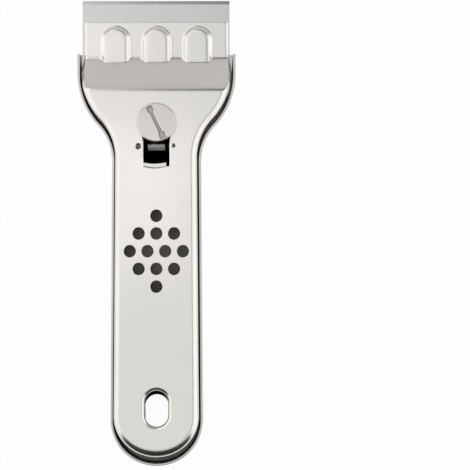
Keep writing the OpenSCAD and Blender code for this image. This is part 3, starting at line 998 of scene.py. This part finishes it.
def makeScrew():
    bm = bmesh.new()
    centre = (0, screwY)
    top = screw["headTop"]
    radius = screw["headRadius"]
    r = screw["headRound"]
    half = screw["slotWidth"] / 2
    wide = screw["endWidth"] / 2
    reach = screw["slotLength"] / 2
    inner = reach - screw["endLength"]
    flare = screw["endFlare"]
    quarter = [(half, inner - flare), (half + 0.1, inner), (wide, inner + flare)]
    for x in (wide, 0.6 * wide, 0.2 * wide):
        quarter.append((x, math.sqrt(reach * reach - x * x)))
    loop = quarter + [(-x, y) for x, y in reversed(quarter)]
    loop += [(-x, -y) for x, y in loop]
    turn = math.radians(screw["slotTurn"])
    spun = [
        (x * math.cos(turn) - y * math.sin(turn), screwY + x * math.sin(turn) + y * math.cos(turn))
        for x, y in loop
    ]
    edge = screw["slotEdge"]
    foot = screw["slotFoot"]
    floorZ = top - screw["slotDepth"]
    slotWall = [(0, top - edge), (0, floorZ + foot), (-foot, floorZ)]
    holeWall(bm, spun, slotWall)

    # The slot's right edge is more worn than its left one
    outward = loopNormals(spun)
    wear = [
        screw["wornRight"] if x > half / 2 and abs(y) < reach - 0.2 else screw["wornLeft"]
        for x, y in loop
    ]
    rows = [atHeight(spun, top - edge)]
    for share, more, z in ((0.15, 0, top - edge + 0.03), (1, 0, top), (1, 0.02, top)):
        rows.append([
            (q[0] + n.x * (w * share + more), q[1] + n.y * (w * share + more), z)
            for q, n, w in zip(spun, outward, wear)
        ])
    loft(bm, rows, closedRows=True)
    hole = rows[-1]
    fillFlat(bm, movedOut(spun, -foot), [], (floorZ,))
    flat = circle(centre, radius - r - support, 96)
    fillFlat(bm, flat, [hole], (top,))
    profile = [(radius - r - support, top), (radius - r, top), (radius - r + 0.05, top - 0.02)]
    profile += [(radius - 0.03, top - r + 0.06), (radius, top - r)]
    under = screw["headUnder"]
    shoulder = screw["shoulderRadius"]
    shoulderEnd = screw["shoulderZ"]
    chamfer = screw["shoulderEdge"]
    neck = screw["threadRadius"] - screw["threadDepth"]
    profile += [(radius, under + 0.2), (radius - 0.06, under + 0.06), (radius - 0.2, under)]
    profile += [(shoulder + 0.1, under), (shoulder, under - 0.1)]
    profile += [(shoulder, shoulderEnd + chamfer), (shoulder - chamfer, shoulderEnd)]
    profile += [(neck, shoulderEnd)]
    revolve(bm, profile, centre)
    addThread(bm, centre, neck)

    # The driver slot's floor is milled and rougher than the turned head; its darker colour is painted
    # shade
    def milledAndShaded(face):
        middle = face.calc_center_median()
        near = math.hypot(middle.x, middle.y - screwY) < radius - 0.3
        return near and floorZ - 0.1 < middle.z < top - 0.12 and abs(face.normal.z) > 0.9

    return makePiece(
        "clampScrew", bm, steels["screwSteel"], "screw", "clamp_screw",
        steels["slotSteel"], milledAndShaded,
    )


# Helical thread as a cylinder whose radius follows the helix, with flats at crest and root
def addThread(bm, centre, neck):
    steps = 96
    topFade, tipFade = screw["threadFade"]
    top = screw["shoulderZ"]
    tip = screw["tipZ"]
    count = int((top - tip) / screw["pitch"] * 12)
    rows = []
    for k in range(count + 1):
        z = top + (tip - top) * k / count
        fade = min(1, (top - z) / topFade, (z - tip) / tipFade + 0.05)
        row = []
        for i in range(steps):
            a = 2 * math.pi * i / steps
            phase = (z / screw["pitch"] - i / steps) % 1
            ridge = 1 - abs(2 * phase - 1)
            r = neck + max(0, fade) * screw["threadDepth"] * min(1, max(0, 1.3 * ridge - 0.15))
            row.append((centre[0] + r * math.cos(a), centre[1] + r * math.sin(a), z))
        rows.append(row)
    loft(bm, rows, closedRows=True)
    cap(bm, rows[-1])


makeScrew()

# The other CAD nodes keep their shape and get their finish; on the bridge and the nut it carries
# painted shade
for nodeName, steelName in (
    ("blade", "bladeSteel"),
    ("nut_bridge", "bridgeSteel"),
    ("square_nut", "bridgeSteel"),
    ("washer", "screwSteel"),
):
    for place in nodes[nodeName].material_slots:
        place.material = steels[steelName]


# Studio: pale floor, two side softboxes, and cards that only the metal sees, in metres, watts
# and degrees
studio = {
    "floorColour": 0.9,
    "floorGlow": 0.955,     # part of the floor's white that doesn't take the shadow
    "floorReach": 3,
    "floorZ": -0.00002,     # just clear of the tray
    "worldLevel": 0.7,
    "leftSoftbox": 0.32,
    "rightSoftbox": 0.36,
    "softboxSize": 0.6,
    "softboxPlace": (0.45, 0, 0.3),
    "cardColour": (1, 0.985, 0.978, 1),
    "sensor": 36,
    "lens": 250.9,
    "distance": 0.965,
    "aim": (0.02293, -0.00068),
    "roll": -0.04,
}

# Each card: brightness, and two far corners of a plane across one axis, in metres
cards = {
    "lowLeft": (1.5, (-0.3, -0.3, 0.002), (-0.3, 0.2, 0.06)),
    "lowRight": (1.45, (0.3, -0.3, 0.002), (0.3, 0.2, 0.13)),
    "backCard": (0.03, (-0.2, -0.2, 0.002), (0.2, -0.2, 0.3)),
    "frontCard": (0.66, (-0.4, 0.3, 0.002), (0.4, 0.3, 0.22)),
    "frontTopLeft": (1.5, (-0.4, 0.3, 0.221), (-0.03, 0.3, 0.55)),
    "frontTopRight": (0.12, (-0.03, 0.3, 0.221), (0.4, 0.3, 0.55)),
    "rightCard": (0.45, (0.045, -0.16, 0.3), (0.1, 0.14, 0.3)),
    "topCard": (1.28, (-0.06, -0.008, 0.14), (0.01, 0.036, 0.14)),
    "plateCard": (1.3, (-0.08, 0.056, 0.14), (-0.012, 0.0705, 0.14)),
}


def addPlane(name, corners, material):
    mesh = bpy.data.meshes.new(name)
    mesh.from_pydata(corners, [], [(0, 1, 2, 3)])
    mesh.materials.append(material)
    plane = bpy.data.objects.new(name, mesh)
    bpy.context.scene.collection.objects.link(plane)
    return plane


# Pale floor that shows white to the camera and in the metal, and keeps a soft shadow.
# From below it is clear, so that the underside can be seen.
def makeFloorMaterial():
    material, shader = newMaterial("floorPaper")
    tree = material.node_tree
    shader.inputs["Roughness"].default_value = 0.9
    shader.inputs["Emission Color"].default_value = (1, 1, 1, 1)
    path = addNode(tree, "ShaderNodeLightPath")
    seen = addNode(tree, "ShaderNodeMath", operation="MAXIMUM")
    tree.links.new(path.outputs["Is Camera Ray"], seen.inputs[0])
    tree.links.new(path.outputs["Is Glossy Ray"], seen.inputs[1])
    paper = addNode(tree, "ShaderNodeMapRange")
    paper.inputs["To Min"].default_value = studio["floorColour"]
    paper.inputs["To Max"].default_value = 1 - studio["floorGlow"]
    glow = addNode(tree, "ShaderNodeMapRange")
    glow.inputs["To Max"].default_value = studio["floorGlow"]
    for node in (paper, glow):
        tree.links.new(seen.outputs[0], node.inputs["Value"])
    tree.links.new(paper.outputs["Result"], shader.inputs["Base Color"])
    tree.links.new(glow.outputs["Result"], shader.inputs["Emission Strength"])
    side = addNode(tree, "ShaderNodeNewGeometry")
    clear = addNode(tree, "ShaderNodeMath", operation="SUBTRACT")
    clear.inputs[0].default_value = 1.0
    tree.links.new(side.outputs["Backfacing"], clear.inputs[1])
    tree.links.new(clear.outputs[0], shader.inputs["Alpha"])
    return material


def makeCardMaterial(name, level):
    material, shader = newMaterial(name)
    shader.inputs["Base Color"].default_value = (0, 0, 0, 1)
    shader.inputs["Roughness"].default_value = 1.0
    shader.inputs["Emission Color"].default_value = studio["cardColour"]
    shader.inputs["Emission Strength"].default_value = level
    return material


def addCard(name, level, low, high):
    first, second = [axis for axis in range(3) if low[axis] != high[axis]]
    beside = list(low)
    beside[first] = high[first]
    above = list(low)
    above[second] = high[second]
    card = addPlane(name, [low, beside, high, above], makeCardMaterial(name + "Paper", level))
    card.visible_camera = False
    card.visible_diffuse = False
    card.visible_shadow = False
    card.visible_transmission = False


def addFloor():
    far = studio["floorReach"]
    corners = [(-far, -far), (far, -far), (far, far), (-far, far)]
    addPlane("floor", atHeight(corners, studio["floorZ"]), makeFloorMaterial())


def addSoftboxes(scene):
    x, y, z = studio["softboxPlace"]
    for name, side in (("leftSoftbox", -1), ("rightSoftbox", 1)):
        data = bpy.data.lights.new(name, "AREA")
        data.size = studio["softboxSize"]
        data.energy = studio[name]
        lamp = bpy.data.objects.new(name, data)
        lamp.location = (side * x, y, z)
        lamp.rotation_euler = Vector((side * x, y, z)).to_track_quat("Z", "Y").to_euler()
        lamp.visible_camera = False
        scene.collection.objects.link(lamp)


# White to the camera and in the metal, and dimmer as a light
def makeWorld(scene):
    world = bpy.data.worlds.new("studioWorld")
    scene.world = world
    world.use_nodes = True
    tree = world.node_tree
    background = tree.nodes["Background"]
    background.inputs["Color"].default_value = (1, 1, 1, 1)
    path = addNode(tree, "ShaderNodeLightPath")
    seen = path.outputs["Is Camera Ray"]
    for other in ("Is Glossy Ray", "Is Transmission Ray"):
        either = addNode(tree, "ShaderNodeMath", operation="MAXIMUM")
        tree.links.new(seen, either.inputs[0])
        tree.links.new(path.outputs[other], either.inputs[1])
        seen = either.outputs[0]
    level = addNode(tree, "ShaderNodeMapRange")
    level.inputs["To Min"].default_value = studio["worldLevel"]
    level.inputs["To Max"].default_value = 1.0
    tree.links.new(seen, level.inputs["Value"])
    tree.links.new(level.outputs["Result"], background.inputs["Strength"])


def makeCamera(scene):
    data = bpy.data.cameras.new("camera")
    data.sensor_width = studio["sensor"]
    data.lens = studio["lens"]
    data.clip_end = 20
    camera = bpy.data.objects.new("camera", data)
    camera.location = (*studio["aim"], studio["distance"])
    camera.rotation_euler = (0, 0, math.radians(studio["roll"]))
    scene.collection.objects.link(camera)
    scene.camera = camera
    scene.view_settings.view_transform = "Standard"


addFloor()
for name, (level, low, high) in cards.items():
    addCard(name, level, low, high)
addSoftboxes(bpy.context.scene)
makeWorld(bpy.context.scene)
makeCamera(bpy.context.scene)
print("studio made")
